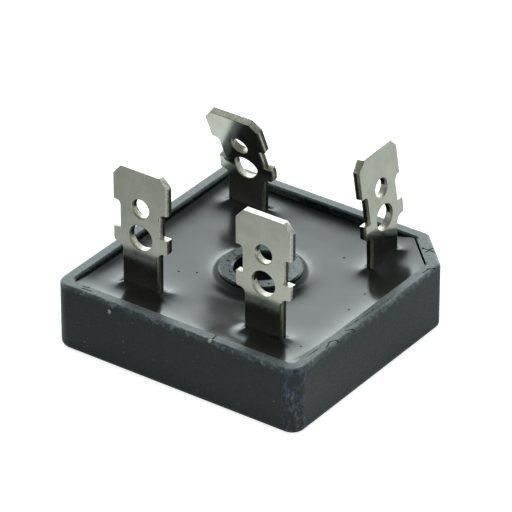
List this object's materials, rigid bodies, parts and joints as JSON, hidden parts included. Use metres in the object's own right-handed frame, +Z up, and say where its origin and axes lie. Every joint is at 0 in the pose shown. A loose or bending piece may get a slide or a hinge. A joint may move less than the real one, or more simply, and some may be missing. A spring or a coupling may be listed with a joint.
{
  "type": "bridge rectifier",
  "caption": "Square potted bridge rectifier with a centre screw hole, a cut corner that marks the positive tab, and upright push-on tabs.",
  "frame": {"origin": "centre of the underside, where the screw hole's axis meets the surface it is mounted on", "axes": "+Z up along the screw hole, +X and +Y along the case sides, with the cut corner at +X +Y"},
  "size_m": [0.0286, 0.0286, 0.0194],
  "materials": {
    "case_plastic": "matte moulded black plastic, scuffed",
    "potting_resin": "glossy cast black resin",
    "plated_tab": "bright tin plating on stamped brass",
    "copper_plate": "plain rolled copper",
    "insulating_film": "amber film",
    "silicon": "polished silicon die",
    "solder": "dull solder"
  },
  "bodies": {
    "root": {"case": "case_plastic", "potting_resin": "potting_resin", "terminal_positive": "plated_tab", "terminal_negative": "plated_tab", "terminal_ac_front": "plated_tab", "terminal_ac_back": "plated_tab", "heat_spreader": "copper_plate", "insulating_sheet": "insulating_film", "diode_right": "silicon", "diode_back": "silicon", "diode_front": "silicon", "diode_left": "silicon", "solder_joints": "solder"}
  },
  "joints": []
}
